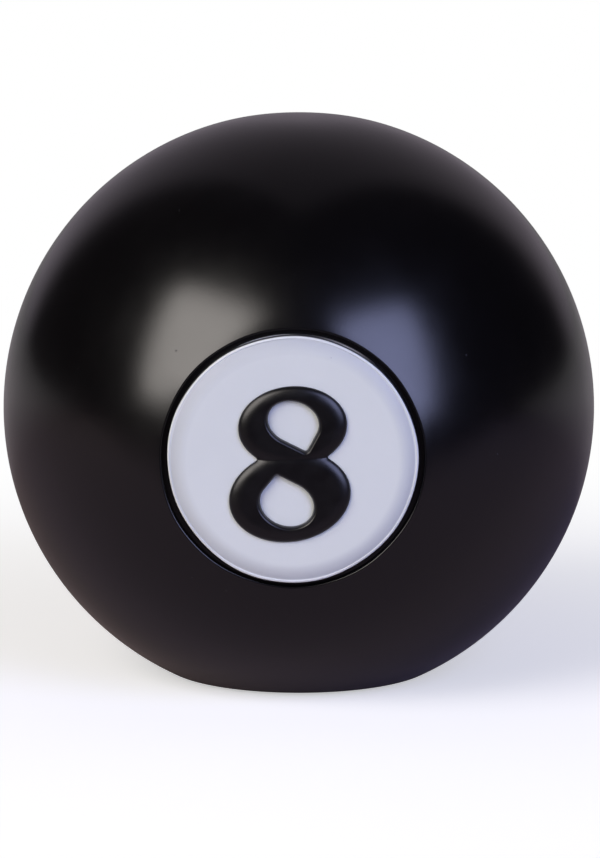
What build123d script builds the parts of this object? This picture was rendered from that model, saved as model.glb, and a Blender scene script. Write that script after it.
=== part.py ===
from build123d import *
import math
import os

# Battery night light in the shape of a flat-based black ball, with a raised numeral on a white window.
# Millimetres. +Z is up, the window faces -Y, and the origin is the centre of the base, where the feet rest.

# Ball shell
ball_diameter = 165.0
shell_wall = 3.0
base_flat_radius = 37.5
base_edge_radius = 1.5
base_rim_width = 1.5
floor_thickness = 3.0

# Window in the front of the ball
window_radius = 33.8
window_thickness = 2.0
window_edge_radius = 1.5
window_skirt_wall = 1.6
window_proud = 1.9
window_peg_radius = 1.2
window_peg_length = 3.3
window_peg_count = 4
groove_width = 1.6
groove_depth = 2.1
lip_edge_radius = 0.5

# Numeral, measured from the middle of the window
numeral_relief = 1.8
numeral_edge_radius = 0.9
upper_bowl_centre = (0.05, 9.3)
upper_bowl_size = (14.7, 11.0)
upper_bowl_tilt = 5.0
lower_bowl_centre = (-0.7, -10.0)
lower_bowl_size = (16.5, 12.4)
lower_bowl_tilt = 10.0
waist_radius = 0.5
upper_counter_centre = (0.25, 10.5)
upper_counter_size = (7.0, 5.6)
upper_counter_tip = (3.5, 3.5)
lower_counter_centre = (-1.5, -12.0)
lower_counter_size = (7.4, 6.0)
lower_counter_tip = (-4.0, -4.9)
counter_tilt = -20.0
counter_tip_radius = 0.8
stud_radius = 1.2
stud_head_radius = 2.0
stud_head_height = 0.8
stud_places = [(-10.6, 9.6), (10.9, 9.8), (-12.9, -11.6), (10.9, -11.2)]

# Light cup behind the window
flange_thickness = 2.5
ledge_thickness = 3.0
ledge_reach = 5.5
cup_wall = 1.6
cup_depth = 24.0
cup_floor_radius = 13.4
cup_screw_inset = 3.0
cup_screw_count = 4
cup_screw_shank_radius = 1.25
cup_screw_head_radius = 2.3
cup_screw_head_height = 1.3
cup_screw_length = 10.0
cup_boss_radius = 3.0
cup_boss_height = 5.0
lead_slot_size = (8.0, 3.0)

# LED board on the floor of the cup
board_radius = 12.6
board_thickness = 1.6
board_screw_spread = 9.5
board_screw_shank_radius = 1.0
board_screw_head_radius = 1.9
board_screw_head_height = 1.2
board_screw_length = 6.0
board_boss_radius = 2.6
led_size = 5.0
led_height = 1.5
led_circle = 4.6
led_count = 3
led_dome_radius = 1.8
led_dome_height = 0.4
resistor_size = (3.2, 1.6, 0.6)
resistor_circle = 9.9

# Base housing
plate_thickness = 3.2
base_screw_angle = 30.0
base_screw_shank_radius = 1.5
base_screw_head_radius = 2.5
base_screw_head_height = 1.4
base_screw_length = 12.0
base_boss_radius = 4.2
base_boss_height = 8.0
foot_radius = 3.8
foot_margin = 0.9
foot_thickness = 1.6
foot_proud = 0.8

# Battery bay, for three AAA cells side by side
cell_diameter = 10.5
cell_length = 44.5
cell_nub_radius = 1.9
cell_nub_height = 0.8
cell_gap = 0.3
cell_end_radius = 0.5
bay_wall = 1.5
bay_outer_corner = 4.0
contact_thickness = 0.4
contact_half_width = 3.2
contact_height = 9.0
tab_width = 3.0
tab_rise = 3.0
spring_base_radius = 3.0
spring_tip_radius = 2.0
spring_wire_radius = 0.3
spring_length = 4.7
spring_turns = 3

# Battery door, lifted off downwards after its two captive screws are undone
door_thickness = 2.0
door_lap = 1.2
door_rib_height = 0.8
door_rib_thickness = 1.2
door_rib_length = 40.0
door_ear_radius = 3.4
door_screw_head_radius = 2.1
door_screw_head_height = 1.1
door_screw_shank_radius = 1.25
door_screw_length = 9.0
door_boss_radius = 2.7
door_boss_height = 8.0
cross_slot_width = 0.7
cross_slot_depth = 0.6

# Slide switch beside the battery bay
switch_gap = 3.85
switch_travel = 3.0
can_size = (5.0, 10.0, 4.2)
can_wall = 0.5
can_ear_length = 3.2
can_ear_width = 4.0
can_peg_radius = 0.95
can_peg_head_radius = 1.6
can_peg_head_height = 0.6
switch_base_thickness = 1.2
slider_carriage_size = (3.4, 5.4, 1.7)
slider_post_size = (2.4, 4.4)
slider_sunk = 0.4
slider_ridge_depth = 0.35
slider_ridge_count = 3
finger_recess_size = (6.4, 13.0, 1.4)
terminal_size = (0.8, 0.4)
terminal_pitch = 2.5
terminal_rise = 3.8

# Leads, each of which climbs from its contact, bows upwards and runs straight into the cup
lead_radius = 0.8
lead_gap = 2.4
lead_climb = 16.0
lead_run_in = 12.0
lead_bow = 6.0

# Clearances
plate_clearance = 0.2
opening_clearance = 0.6
flange_clearance = 0.2
cup_clearance = 0.2
screw_clearance = 0.05
peg_clearance = 0.05
stud_clearance = 0.05
foot_clearance = 0.1
cell_side_clearance = 0.5
cell_height_clearance = 0.4
contact_clearance = 0.05
tab_clearance = 0.15
door_clearance = 0.3
door_head_clearance = 0.3
head_gap = 0.05
slider_clearance = 0.3
can_fit = 0.1

# Heights worked out from the sizes above
ball_radius = ball_diameter / 2
base_z = foot_proud
centre_z = base_z + math.sqrt(ball_radius**2 - base_flat_radius**2)
plate_top = base_z + plate_thickness
floor_top = plate_top + floor_thickness
cavity_radius = ball_radius - shell_wall
door_top = base_z + door_thickness

# Battery bay and housing
cell_pitch = cell_diameter + cell_gap
bay_half_length = (cell_length + spring_length) / 2 + contact_thickness
bay_half_width = cell_pitch + cell_diameter / 2 + cell_side_clearance
cell_z = door_top + cell_height_clearance + cell_diameter / 2
bay_top = cell_z + cell_diameter / 2 + cell_height_clearance
roof_z = bay_top + bay_wall
box_half_width = bay_half_width + bay_wall
box_half_length = bay_half_length + bay_wall
bay_inner_corner = bay_outer_corner - bay_wall
door_screw_y = box_half_length + door_screw_shank_radius + screw_clearance
contact_face = bay_half_length - contact_thickness
tab_top = roof_z + tab_rise

# Openings in the base of the ball
box_reach = math.hypot(box_half_width - bay_outer_corner, box_half_length - bay_outer_corner) + bay_outer_corner
floor_opening_radius = max(box_reach, door_screw_y + door_boss_radius) + opening_clearance
rebate_radius = base_flat_radius - base_rim_width
plate_radius = rebate_radius - plate_clearance
base_screw_circle = plate_radius - foot_radius - foot_margin

# Distances from the centre of the ball towards the front
lip_radius = window_radius + groove_width
lip_depth = math.sqrt(ball_radius**2 - lip_radius**2)
window_face = lip_depth + window_proud
window_back = window_face - window_thickness
flange_front = lip_depth - groove_depth
ledge_front = flange_front - flange_thickness
ledge_back = ledge_front - ledge_thickness
seat_radius = lip_radius + shell_wall
ledge_inner_radius = window_radius - ledge_reach
cup_screw_circle = window_radius - cup_screw_inset
cup_floor = ledge_front - cup_depth
cup_back = cup_floor - cup_wall
cup_mouth_radius = ledge_inner_radius - cup_clearance
board_face = cup_floor + board_thickness

# Slide switch
switch_x = box_half_width + switch_gap + can_size[0] / 2
can_bottom = plate_top
can_top = can_bottom + can_size[2]
switch_base_bottom = can_top - switch_base_thickness
recess_top = base_z + finger_recess_size[2]
slider_rest_y = -switch_travel / 2
slider_slot_size = (
    slider_post_size[0] + 2 * slider_clearance,
    slider_post_size[1] + switch_travel + 2 * slider_clearance,
)
can_ear_y = can_size[1] / 2 + can_ear_length / 2

UP = (Align.CENTER, Align.CENTER, Align.MIN)
FRONT = Location(Plane(origin=(0, 0, centre_z), x_dir=(1, 0, 0), z_dir=(0, -1, 0)))


def rod(x, y, low, high, radius):
    """Upright round bar between two heights."""
    return Pos(x, y, low) * Cylinder(radius, high - low, align=UP)


def block(x, y, low, width, length, height):
    """Upright box standing on a height."""
    return Pos(x, y, low) * Box(width, length, height, align=UP)


def rounded_block(low, high, half_width, half_length, corner):
    """Upright block with a rounded rectangle for its plan, centred on the axis."""
    plan = RectangleRounded(2 * half_width, 2 * half_length, corner)
    return Pos(0, 0, low) * extrude(plan, high - low)


def on_circle(radius, count, start_degrees=0.0):
    """Evenly spaced places on a circle."""
    places = []
    for index in range(count):
        angle = math.radians(start_degrees + index * 360.0 / count)
        places.append((radius * math.cos(angle), radius * math.sin(angle)))
    return places


def countersunk_screw(x, y, head_face, head_radius, head_height, shank_radius, length):
    """Countersunk screw whose flat head faces +Z, with a cross slot, and whose shank runs down."""
    head = Pos(x, y, head_face - head_height) * Cone(shank_radius, head_radius, head_height, align=UP)
    shank = rod(x, y, head_face - length, head_face - head_height, shank_radius)
    return head + shank - cross_slot(x, y, head_face, head_radius)


def cross_slot(x, y, face, head_radius):
    """Cross-shaped driver recess, sunk below a face that looks up +Z."""
    reach = 1.3 * head_radius
    low = face - cross_slot_depth
    one = block(x, y, low, reach, cross_slot_width, cross_slot_depth)
    other = block(x, y, low, cross_slot_width, reach, cross_slot_depth)
    return one + other


def face_down(solid, x, y, level):
    """Turn a solid over about a level line through (x, y), so that what looked up looks down."""
    pivot = Pos(x, y, level)
    return pivot * Rot(180, 0, 0) * pivot.inverse() * solid


def base_screw_places():
    """The four base screws, two each side, clear of the battery box and the switch."""
    x = base_screw_circle * math.cos(math.radians(base_screw_angle))
    y = base_screw_circle * math.sin(math.radians(base_screw_angle))
    return [(x, y), (-x, y), (-x, -y), (x, -y)]


def door_screw_places():
    """The two door screws, one beyond each end of the battery bay."""
    return [(0, -door_screw_y), (0, door_screw_y)]


def cup_screw_places():
    """The screws that hold the light cup, midway between the window's pegs."""
    return on_circle(cup_screw_circle, cup_screw_count, 45.0)


def window_peg_places():
    """The pegs on the back of the window, on the same circle as the cup's screws."""
    return on_circle(cup_screw_circle, window_peg_count)


def make_ball_shell():
    """One-piece ball with a flat base, a floor with a round opening, and a ledge for the window."""
    sphere = Pos(0, 0, centre_z) * Sphere(ball_radius)
    ball = sphere - block(0, 0, base_z - ball_diameter, 2 * ball_diameter, 2 * ball_diameter, ball_diameter)
    rim = ball.edges().filter_by(GeomType.CIRCLE).sort_by(Axis.Z)[0]
    ball = fillet(rim, base_edge_radius)
    under_floor = block(0, 0, floor_top - ball_diameter, 2 * ball_diameter, 2 * ball_diameter, ball_diameter)
    cavity = Pos(0, 0, centre_z) * Sphere(cavity_radius) - under_floor
    seat = FRONT * (rod(0, 0, ledge_back, ball_radius, seat_radius))
    shell = ball - cavity + (seat & ball)
    for x, y in cup_screw_places():
        shell += FRONT * rod(x, y, ledge_back - cup_boss_height, ledge_front, cup_boss_radius)
    for x, y in base_screw_places():
        shell += rod(x, y, plate_top, floor_top + base_boss_height, base_boss_radius)
    shell -= FRONT * rod(0, 0, flange_front, ball_diameter, lip_radius)
    shell -= FRONT * rod(0, 0, ledge_front, flange_front, window_radius + flange_clearance)
    shell -= FRONT * rod(0, 0, ledge_back - shell_wall, ledge_front, ledge_inner_radius)
    opening = rod(0, 0, base_z - shell_wall, floor_top, floor_opening_radius)
    for x, y in base_screw_places():
        opening -= rod(x, y, plate_top, floor_top, base_boss_radius)
    shell -= opening
    shell -= rod(0, 0, base_z - shell_wall, plate_top, rebate_radius)
    screw_tip = base_z + foot_thickness - foot_proud + base_screw_length
    for x, y in base_screw_places():
        shell -= rod(x, y, plate_top, screw_tip + head_gap, base_screw_shank_radius + screw_clearance)
    tip_depth = flange_front - cup_screw_length
    for x, y in cup_screw_places():
        pilot_radius = cup_screw_shank_radius + screw_clearance
        shell -= FRONT * rod(x, y, tip_depth - head_gap, ledge_front, pilot_radius)
    lip = shell.edges().filter_by(GeomType.CIRCLE).sort_by(Axis.Y)[0]
    return fillet(lip, lip_edge_radius)


def make_number_window():
    """White disc with a rolled edge and a skirt, pegged to the flange of the light cup."""
    disc = rod(0, 0, flange_front, window_face, window_radius)
    edge = disc.edges().filter_by(GeomType.CIRCLE).sort_by(Axis.Z)[-1]
    disc = fillet(edge, window_edge_radius)
    disc -= rod(0, 0, flange_front, window_back, window_radius - window_skirt_wall)
    for x, y in window_peg_places():
        disc += rod(x, y, window_back - window_peg_length, window_back, window_peg_radius)
    for x, y in stud_places:
        disc -= rod(x, y, window_back, window_face, stud_radius + stud_clearance)
    return FRONT * disc


def counter_outline(centre, size, tip):
    """Closed teardrop: a tilted ellipse drawn out by straight sides to a small round tip."""
    bowl = Edge.make_ellipse(*size).moved(Pos(*centre) * Rot(0, 0, counter_tilt))
    point = Edge.make_circle(counter_tip_radius).moved(Pos(*tip))
    return make_hull([bowl, point])


def numeral_outline():
    """Two tilted elliptical bowls that overlap at the waist, less their two counters."""
    upper = Pos(*upper_bowl_centre) * Rot(0, 0, upper_bowl_tilt) * Ellipse(*upper_bowl_size)
    lower = Pos(*lower_bowl_centre) * Rot(0, 0, lower_bowl_tilt) * Ellipse(*lower_bowl_size)
    bowls = upper + lower
    bowls = fillet(bowls.vertices().filter_by(lambda v: abs(v.Y) < lower_bowl_size[1] / 2), waist_radius)
    bowls -= counter_outline(upper_counter_centre, upper_counter_size, upper_counter_tip)
    bowls -= counter_outline(lower_counter_centre, lower_counter_size, lower_counter_tip)
    return bowls


def make_numeral():
    """Black numeral with rounded edges, and studs staked over behind the window."""
    figure = Pos(0, 0, window_face) * extrude(numeral_outline(), numeral_relief)
    top = figure.faces().sort_by(Axis.Z)[-1]
    figure = fillet(top.edges(), numeral_edge_radius)
    for x, y in stud_places:
        figure += rod(x, y, window_back, window_face, stud_radius)
        figure += rod(x, y, window_back - stud_head_height, window_back, stud_head_radius)
    return FRONT * figure


def make_light_cup():
    """White reflector with a flange that is screwed to the ledge, and a floor that carries the LED board."""
    flange = rod(0, 0, ledge_front, flange_front, window_radius)
    outside = Pos(0, 0, cup_back) * Cone(
        cup_floor_radius + cup_wall, cup_mouth_radius, ledge_front - cup_back, align=UP
    )
    inside = Pos(0, 0, cup_floor) * Cone(
        cup_floor_radius, cup_mouth_radius - cup_wall, flange_front - cup_floor, align=UP
    )
    boss_low = board_face - board_screw_length - head_gap
    cup = flange + outside
    for x in (-board_screw_spread, board_screw_spread):
        cup += rod(x, 0, boss_low - cup_wall, cup_floor, board_boss_radius)
    cup -= inside
    for x in (-board_screw_spread, board_screw_spread):
        cup -= rod(x, 0, boss_low, cup_floor, board_screw_shank_radius + screw_clearance)
    cup -= block(0, 0, cup_back, lead_slot_size[0], lead_slot_size[1], cup_wall)
    for x, y in cup_screw_places():
        cup -= rod(x, y, ledge_front, flange_front, cup_screw_shank_radius + screw_clearance)
        cup -= Pos(x, y, flange_front - cup_screw_head_height) * Cone(
            cup_screw_shank_radius + screw_clearance,
            cup_screw_head_radius + screw_clearance,
            cup_screw_head_height,
            align=UP,
        )
    for x, y in window_peg_places():
        tip = window_back - window_peg_length
        cup -= rod(x, y, tip - peg_clearance, flange_front, window_peg_radius + peg_clearance)
    return FRONT * cup


def make_cup_screws():
    """Countersunk screws through the cup's flange, hidden by the window."""
    screws = []
    for x, y in cup_screw_places():
        screws.append(
            FRONT
            * countersunk_screw(
                x,
                y,
                flange_front,
                cup_screw_head_radius,
                cup_screw_head_height,
                cup_screw_shank_radius,
                cup_screw_length,
            )
        )
    return screws


def make_led_board():
    """Round white circuit board."""
    board = rod(0, 0, cup_floor, board_face, board_radius)
    for x in (-board_screw_spread, board_screw_spread):
        board -= rod(x, 0, cup_floor, board_face, board_screw_shank_radius + screw_clearance)
    return FRONT * board


def make_leds():
    """Surface-mounted LEDs, each a square body with a low round dome."""
    leds = []
    for x, y in on_circle(led_circle, led_count, 90.0):
        body = block(x, y, board_face, led_size, led_size, led_height)
        dome = Pos(x, y, board_face + led_height) * Cone(
            led_dome_radius, led_dome_radius - led_dome_height, led_dome_height, align=UP
        )
        leds.append(FRONT * (body + dome))
    return leds


def make_resistors():
    """One chip resistor for each LED, set square to the edge of the board."""
    length, width, height = resistor_size
    chips = []
    for index in range(led_count):
        angle = 90.0 + index * 360.0 / led_count
        if index:
            angle += 30.0 if index == 1 else -30.0
        turn = Rot(0, 0, angle - 90.0)
        chips.append(FRONT * turn * block(0, resistor_circle, board_face, length, width, height))
    return chips


def make_board_screws():
    """Pan-head screws that hold the LED board to the cup."""
    screws = []
    for x in (-board_screw_spread, board_screw_spread):
        head_face = board_face + board_screw_head_height
        screw = rod(x, 0, board_face, head_face, board_screw_head_radius)
        screw += rod(x, 0, board_face - board_screw_length, board_face, board_screw_shank_radius)
        screws.append(FRONT * (screw - cross_slot(x, 0, head_face, board_screw_head_radius)))
    return screws


def door_outline_block(low, high, growth):
    """Outline of the battery door, a rounded rectangle with an ear at each end, grown all round."""
    reach = door_lap + growth
    solid = rounded_block(low, high, bay_half_width + reach, bay_half_length + reach, bay_inner_corner + reach)
    for x, y in door_screw_places():
        solid += rod(x, y, low, high, door_ear_radius + growth)
    return solid


def make_base_housing():
    """Round plate that closes the base, with the battery box on top and a pocket for the switch."""
    housing = rod(0, 0, base_z, plate_top, plate_radius)
    housing += rounded_block(plate_top, roof_z, box_half_width, box_half_length, bay_outer_corner)
    for x, y in door_screw_places():
        housing += rod(x, y, plate_top, plate_top + door_boss_height, door_boss_radius)
    housing -= rounded_block(base_z, bay_top, bay_half_width, bay_half_length, bay_inner_corner)
    housing -= door_outline_block(base_z, door_top, door_clearance)
    door_screw_tip = base_z + head_gap + door_screw_length
    for x, y in door_screw_places():
        housing -= rod(x, y, door_top, door_screw_tip + slider_clearance, door_screw_shank_radius + screw_clearance)
    recess_floor = base_z + foot_thickness - foot_proud
    for x, y in base_screw_places():
        housing -= rod(x, y, base_z, recess_floor, foot_radius + foot_clearance)
        housing -= rod(x, y, recess_floor, plate_top, base_screw_shank_radius + screw_clearance)
        housing -= Pos(x, y, recess_floor) * Cone(
            base_screw_head_radius + screw_clearance,
            base_screw_shank_radius + screw_clearance,
            base_screw_head_height,
            align=UP,
        )
    housing -= block(switch_x, 0, base_z, *finger_recess_size)
    housing -= block(switch_x, 0, recess_top, *slider_slot_size, plate_top - recess_top)
    ear_top = plate_top + can_wall
    for y in (-can_ear_y, can_ear_y):
        housing += rod(switch_x, y, plate_top, ear_top, can_peg_radius)
        housing += rod(switch_x, y, ear_top, ear_top + can_peg_head_height, can_peg_head_radius)
    for x, y in terminal_places():
        tab_hole_width = tab_width + 2 * tab_clearance
        tab_hole_length = contact_thickness + 2 * tab_clearance
        housing -= block(x, y, bay_top, tab_hole_width, tab_hole_length, bay_wall)
    return housing


def make_base_screws():
    """Countersunk screws from below into the bosses of the shell, hidden by the feet."""
    face = base_z + foot_thickness - foot_proud
    screws = []
    for x, y in base_screw_places():
        upright = countersunk_screw(
            x,
            y,
            face,
            base_screw_head_radius,
            base_screw_head_height,
            base_screw_shank_radius,
            base_screw_length,
        )
        screws.append(face_down(upright, x, y, face))
    return screws


def make_feet():
    """Round rubber pads pressed into the recesses over the base screws."""
    feet = []
    for x, y in base_screw_places():
        pad = rod(x, y, 0, foot_thickness, foot_radius)
        edge = pad.edges().filter_by(GeomType.CIRCLE).sort_by(Axis.Z)[0]
        feet.append(chamfer(edge, foot_proud / 4))
    return feet


def make_battery_door():
    """Flush door with an ear for a screw at each end and two ribs that locate it in the bay."""
    door = door_outline_block(base_z, door_top, 0)
    rib_x = bay_half_width - door_clearance - door_rib_thickness / 2
    for x in (-rib_x, rib_x):
        door += block(x, 0, door_top, door_rib_thickness, door_rib_length, door_rib_height)
    for x, y in door_screw_places():
        door -= rod(x, y, base_z, door_top, door_screw_shank_radius + screw_clearance)
        head_top = base_z + head_gap + door_screw_head_height
        door -= rod(x, y, base_z, head_top + head_gap, door_screw_head_radius + door_head_clearance)
    return door


def make_door_screw(x, y):
    """Captive pan-head screw of the battery door, head downwards."""
    head_face = base_z + head_gap
    head_top = head_face + door_screw_head_height
    screw = rod(x, y, head_face, head_top, door_screw_head_radius)
    screw += rod(x, y, head_top, head_face + door_screw_length, door_screw_shank_radius)
    slot = cross_slot(x, y, head_face, door_screw_head_radius)
    return screw - face_down(slot, x, y, head_face)


def cell_directions():
    """Each cell's place across the bay, with +1 where its positive end points to +Y."""
    return {
        "battery_left": (-cell_pitch, 1),
        "battery_middle": (0.0, -1),
        "battery_right": (cell_pitch, 1),
    }


def make_cell(x, direction):
    """AAA cell: a can with rounded ends and a small raised positive contact."""
    can_length = cell_length - cell_nub_height
    can = rod(0, 0, 0, can_length, cell_diameter / 2)
    can = fillet(can.edges().filter_by(GeomType.CIRCLE), cell_end_radius)
    cell = can + rod(0, 0, can_length, cell_length, cell_nub_radius)
    tip = contact_face - contact_clearance
    return Pos(x, direction * (tip - cell_length), cell_z) * Rot(-90 * direction, 0, 0) * cell


def make_springs():
    """Conical contact springs at the negative ends of the cells."""
    near = contact_face - spring_wire_radius - contact_clearance
    gap = 2 * contact_face - cell_length - 2 * contact_clearance
    height = gap - 2 * spring_wire_radius - contact_clearance
    cone = -math.degrees(math.atan2(spring_base_radius - spring_tip_radius, height))
    springs = []
    for x, direction in cell_directions().values():
        coil = Helix(
            height / spring_turns,
            height,
            spring_base_radius,
            center=(x, -direction * near, cell_z),
            direction=(0, direction, 0),
            cone_angle=cone,
        )
        section = Plane(origin=coil @ 0, z_dir=coil % 0) * Circle(spring_wire_radius)
        springs.append(sweep(section, path=coil, is_frenet=True))
    return springs


def contact_plate(x, side, half_width):
    """Thin upright contact against one end wall of the bay."""
    low = cell_z - contact_height / 2
    y = side * (contact_face + contact_thickness / 2)
    return block(x, y, low, 2 * half_width, contact_thickness, contact_height)


def terminal_places():
    """The two contacts with solder tabs: the pack's positive and its negative end."""
    y = contact_face + contact_thickness / 2
    return [(-cell_pitch, y), (cell_pitch, -y)]


def make_bridge_plates():
    """Two plates, each joining the end of one cell to the next."""
    half_width = cell_pitch / 2 + contact_half_width
    return [
        contact_plate(cell_pitch / 2, 1, half_width),
        contact_plate(-cell_pitch / 2, -1, half_width),
    ]


def make_terminal_plates():
    """The pack's two end contacts, whose tabs come up through the roof of the box."""
    plates = []
    for x, y in terminal_places():
        plate = contact_plate(x, math.copysign(1, y), contact_half_width)
        plate += block(x, y, cell_z, tab_width, contact_thickness, tab_top - cell_z)
        plates.append(plate)
    return plates


def make_switch_can():
    """Steel can of the slide switch, open on top, with an ear at each end over a moulded peg."""
    width, length, height = can_size
    can = block(switch_x, 0, can_bottom, width, length, height)
    can += block(switch_x, 0, can_bottom, can_ear_width, length + 2 * can_ear_length, can_wall)
    inner_height = height - can_wall
    can -= block(switch_x, 0, can_bottom + can_wall, width - 2 * can_wall, length - 2 * can_wall, inner_height)
    can -= block(switch_x, 0, can_bottom, *slider_slot_size, can_wall)
    for y in (-can_ear_y, can_ear_y):
        can -= rod(switch_x, y, can_bottom, can_bottom + can_wall, can_peg_radius + peg_clearance)
    return can


def switch_pin_places():
    """The three terminals of the switch, in a row along its length."""
    return [(switch_x, -terminal_pitch), (switch_x, 0.0), (switch_x, terminal_pitch)]


def make_switch_pins():
    """The three solder pins of the switch."""
    pins = []
    height = switch_base_thickness + terminal_rise
    for x, y in switch_pin_places():
        pins.append(block(x, y, switch_base_bottom, *terminal_size, height))
    return pins


def make_switch_base():
    """Insulating board that closes the can and holds the pins."""
    width = can_size[0] - 2 * can_wall - 2 * can_fit
    length = can_size[1] - 2 * can_wall - 2 * can_fit
    base = block(switch_x, 0, switch_base_bottom, width, length, switch_base_thickness)
    for x, y in switch_pin_places():
        base -= block(x, y, switch_base_bottom, *terminal_size, switch_base_thickness)
    return base


def make_switch_slider():
    """Slider with a carriage inside the can and a ridged post in the finger recess."""
    width, length, height = slider_carriage_size
    carriage_low = can_bottom + can_wall + slider_clearance
    post_low = base_z + slider_sunk
    slider = block(switch_x, slider_rest_y, carriage_low, width, length, height)
    slider += block(switch_x, slider_rest_y, post_low, *slider_post_size, carriage_low - post_low)
    pitch = slider_post_size[1] / (slider_ridge_count + 1)
    for index in range(slider_ridge_count):
        y = slider_rest_y + (index - (slider_ridge_count - 1) / 2) * pitch
        slider -= block(switch_x, y, post_low, slider_post_size[0], slider_ridge_depth, slider_ridge_depth)
    return slider


def make_lead(points):
    """Round insulated wire along straight runs joined by arcs as large as the runs allow."""
    corners = [Vector(*point) for point in points]
    radii = []
    for before, corner, after in zip(corners, corners[1:], corners[2:]):
        turn = math.radians((corner - before).get_angle(after - corner))
        shorter = min((corner - before).length, (after - corner).length)
        radii.append(0.45 * shorter / math.tan(turn / 2))
    path = FilletPolyline(*corners, radius=radii)
    section = Plane(origin=path @ 0, z_dir=path % 0) * Circle(lead_radius)
    return sweep(section, path=path)


def between(low, high, share, bow):
    """Point part of the way from one place to another, lifted by the bow of the lead."""
    x, y, z = (a + share * (b - a) for a, b in zip(low, high))
    return (x, y, z + bow)


def lead_to_board(start, x):
    """Route that climbs from a contact and ends square to the back of the LED board."""
    top = (start[0], start[1], start[2] + lead_climb)
    end = (x, contact_clearance - cup_floor, centre_z)
    entry = (x, end[1] + lead_run_in, centre_z)
    return [start, top, between(top, entry, 0.33, lead_bow), between(top, entry, 0.7, lead_bow), entry, end]


def lead_routes():
    """The three leads, from the battery contacts and the switch to the back of the LED board."""
    tab_y = contact_face - lead_radius - contact_clearance
    tab_z = roof_z + lead_radius + contact_clearance
    pin_z = can_top + terminal_rise + contact_clearance
    positive = (-cell_pitch, tab_y, tab_z)
    negative = (cell_pitch, -tab_y, tab_z)
    negative_top = (cell_pitch, -tab_y, tab_z + lead_climb / 2)
    common = (switch_x, 0, pin_z)
    common_top = (switch_x, 0, pin_z + lead_climb / 2)
    return {
        "lead_positive": lead_to_board(positive, -lead_gap),
        "lead_switched": lead_to_board((switch_x, terminal_pitch, pin_z), lead_gap),
        "lead_negative": [
            negative,
            negative_top,
            between(negative_top, common_top, 0.5, lead_bow),
            common_top,
            common,
        ],
    }


def main():
    """Write one STEP file for each node."""
    nodes = {
        "ball_shell": make_ball_shell(),
        "number_window": make_number_window(),
        "numeral": make_numeral(),
        "light_cup": make_light_cup(),
        "cup_screws": make_cup_screws(),
        "led_board": make_led_board(),
        "leds": make_leds(),
        "resistors": make_resistors(),
        "board_screws": make_board_screws(),
        "base_housing": make_base_housing(),
        "base_screws": make_base_screws(),
        "feet": make_feet(),
        "battery_door": make_battery_door(),
        "battery_springs": make_springs(),
        "bridge_plates": make_bridge_plates(),
        "terminal_plates": make_terminal_plates(),
        "switch_can": make_switch_can(),
        "switch_base": make_switch_base(),
        "switch_pins": make_switch_pins(),
        "switch_slider": make_switch_slider(),
    }
    for name, place in zip(("door_screw_front", "door_screw_back"), door_screw_places()):
        nodes[name] = make_door_screw(*place)
    for name, (x, direction) in cell_directions().items():
        nodes[name] = make_cell(x, direction)
    for name, points in lead_routes().items():
        nodes[name] = make_lead(points)
    os.makedirs("parts", exist_ok=True)
    for name, node in nodes.items():
        solids = node if isinstance(node, list) else [node]
        export_step(Compound(children=[piece for solid in solids for piece in solid.solids()]), f"parts/{name}.step")
        print(name, len(solids))


main()
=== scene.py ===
import math

import bmesh
import bpy
import numpy as np
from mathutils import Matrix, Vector


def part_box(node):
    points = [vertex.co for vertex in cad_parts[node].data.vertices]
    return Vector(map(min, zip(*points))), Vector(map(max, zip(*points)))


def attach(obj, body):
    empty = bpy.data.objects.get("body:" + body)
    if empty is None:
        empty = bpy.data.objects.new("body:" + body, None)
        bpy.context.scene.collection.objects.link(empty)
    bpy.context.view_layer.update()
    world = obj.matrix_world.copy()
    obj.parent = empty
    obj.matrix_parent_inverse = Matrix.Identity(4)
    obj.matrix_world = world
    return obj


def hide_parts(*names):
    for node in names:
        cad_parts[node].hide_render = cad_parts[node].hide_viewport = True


# Battery night light in the shape of a flat-based black ball, with a raised numeral on a white window.
# Metres. +Z is up, the window faces -Y, and the origin is the centre of the base, where the feet rest.
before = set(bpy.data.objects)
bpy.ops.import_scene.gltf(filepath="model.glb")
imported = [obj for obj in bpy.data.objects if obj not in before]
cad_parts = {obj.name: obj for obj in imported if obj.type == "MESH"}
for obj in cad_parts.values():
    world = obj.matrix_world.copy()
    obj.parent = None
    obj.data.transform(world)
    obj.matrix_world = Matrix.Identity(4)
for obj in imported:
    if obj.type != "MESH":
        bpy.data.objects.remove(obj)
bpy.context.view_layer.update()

# ---------------------------------------------------------------------------------------------------
# Camera. A long lens two metres in front of the ball, a little above the window and a hair to its right.
# It looks slightly down, along a line that passes a few millimetres under the middle of the ball.
shell_low, shell_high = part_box("ball_shell")
ball_radius = shell_high.x
ball_centre = Vector((0, 0, shell_high.z - ball_radius))
camera_distance = 2.06
camera_elevation = math.radians(11.1)
camera_azimuth = math.radians(1.3)
camera_drop = 0.0063
camera_right_shift = 0.0003
lens_mm = 309
sensor_mm = 36

towards_camera = Vector((
    math.sin(camera_azimuth) * math.cos(camera_elevation),
    -math.cos(camera_azimuth) * math.cos(camera_elevation),
    math.sin(camera_elevation),
))
camera_right = Vector((math.cos(camera_azimuth), math.sin(camera_azimuth), 0))
camera_up = towards_camera.cross(camera_right)
camera = bpy.data.objects.new("camera", bpy.data.cameras.new("camera"))
bpy.context.scene.collection.objects.link(camera)
camera.data.lens = lens_mm
camera.data.sensor_width = sensor_mm
camera.location = (
    ball_centre
    + camera_distance * towards_camera
    - camera_drop * camera_up
    + camera_right_shift * camera_right
)
camera.rotation_mode = "QUATERNION"
camera.rotation_quaternion = towards_camera.to_track_quat("Z", "Y")
bpy.context.scene.camera = camera

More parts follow.
